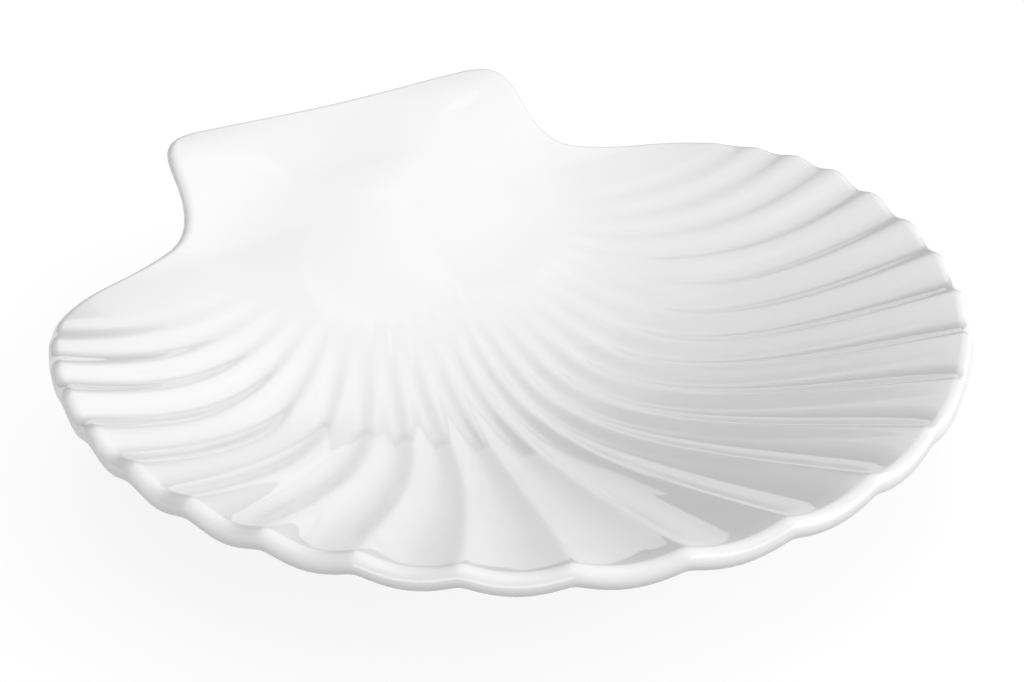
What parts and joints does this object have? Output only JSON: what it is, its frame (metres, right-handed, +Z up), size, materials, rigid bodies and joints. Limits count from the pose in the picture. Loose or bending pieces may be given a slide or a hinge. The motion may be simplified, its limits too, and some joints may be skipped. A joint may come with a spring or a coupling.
{
  "type": "shell-shaped dish",
  "caption": "Shallow scallop-shaped serving dish in glazed porcelain, with fluted fan, scalloped rolled rim, raised hinge tab and oval foot ring.",
  "frame": {"origin": "on the table under the middle of the dish's extents", "axes": "X across the dish from side to side, +Y from the scalloped tip towards the hinge tab, +Z up"},
  "size_m": [0.16, 0.152, 0.0354],
  "materials": {
    "glaze": "white, high gloss"
  },
  "bodies": {
    "root": {"dish": "glaze"}
  },
  "joints": []
}
